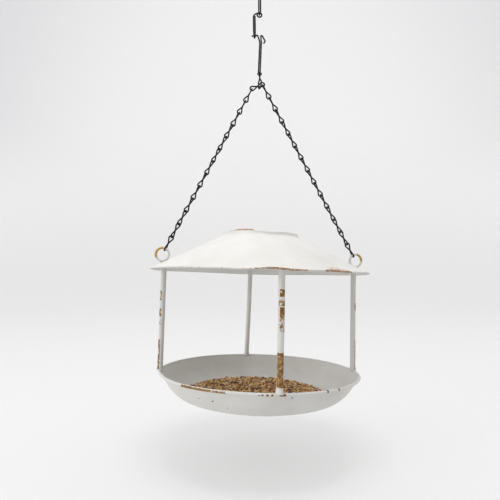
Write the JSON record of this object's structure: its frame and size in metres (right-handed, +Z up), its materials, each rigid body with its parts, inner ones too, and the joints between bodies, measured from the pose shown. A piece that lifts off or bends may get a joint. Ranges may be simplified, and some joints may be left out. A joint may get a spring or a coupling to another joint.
{
  "type": "hanging bird feeder",
  "caption": "Hanging bird feeder with a shallow cone roof over a round seed tray on slim rods, hung by a jack chain and wire hooks.",
  "frame": {"origin": "where the hanging point touches the top inside of the top wire loop, on the plumb line", "axes": "+Z up, +X from the left ring to the right ring, +Y to the back"},
  "size_m": [0.2644, 0.263, 0.5079],
  "materials": {
    "white_paint": "slightly glossy off-white paint, worn to rust at edges",
    "ring_paint": "thin white paint over rusty golden brown wire",
    "dark_wire": "dark grey-brown wire, satin",
    "seed": "dry mixed seed"
  },
  "bodies": {
    "hanger": {"top_link": "dark_wire"},
    "s_hook_body": {"s_hook": "dark_wire"},
    "long_hook_body": {"long_hook": "dark_wire", "hook_wrap": "dark_wire"},
    "chain": {"chain_left_01": "dark_wire", "chain_left_02": "dark_wire", "chain_left_03": "dark_wire", "chain_left_04": "dark_wire", "chain_left_05": "dark_wire", "chain_left_06": "dark_wire", "chain_left_07": "dark_wire", "chain_left_08": "dark_wire", "chain_left_09": "dark_wire", "chain_left_10": "dark_wire", "chain_left_11": "dark_wire", "chain_left_12": "dark_wire", "chain_left_13": "dark_wire", "chain_middle": "dark_wire", "chain_right_01": "dark_wire", "chain_right_02": "dark_wire", "chain_right_03": "dark_wire", "chain_right_04": "dark_wire", "chain_right_05": "dark_wire", "chain_right_06": "dark_wire", "chain_right_07": "dark_wire", "chain_right_08": "dark_wire", "chain_right_09": "dark_wire", "chain_right_10": "dark_wire", "chain_right_11": "dark_wire", "chain_right_12": "dark_wire", "chain_right_13": "dark_wire", "chain_right_14": "dark_wire"},
    "feeder": {"roof": "white_paint", "tray": "white_paint", "post_front": "white_paint", "post_right": "white_paint", "post_back": "white_paint", "post_left": "white_paint", "ring_left": "ring_paint", "ring_right": "ring_paint", "seed_heap": "seed"}
  },
  "joints": [
    {"name": "s_hook_swing", "type": "hinge", "parent": "hanger", "child": "s_hook_body", "pos_m": [0, 0, -0.02445], "axis": [0, 1, 0], "range_deg": [-30, 30]},
    {"name": "long_hook_swing", "type": "hinge", "parent": "s_hook_body", "child": "long_hook_body", "pos_m": [-0.0068, 0, -0.0539], "axis": [1, 0, 0], "range_deg": [-25, 25]},
    {"name": "chain_swing", "type": "hinge", "parent": "long_hook_body", "child": "chain", "pos_m": [0, 0, -0.1195], "axis": [1, 0, 0], "range_deg": [-25, 25]},
    {"name": "feeder_rock", "type": "hinge", "parent": "chain", "child": "feeder", "pos_m": [0.00202, 0, -0.32923], "axis": [0.9997, 0, -0.0263], "range_deg": [-12, 12]}
  ]
}
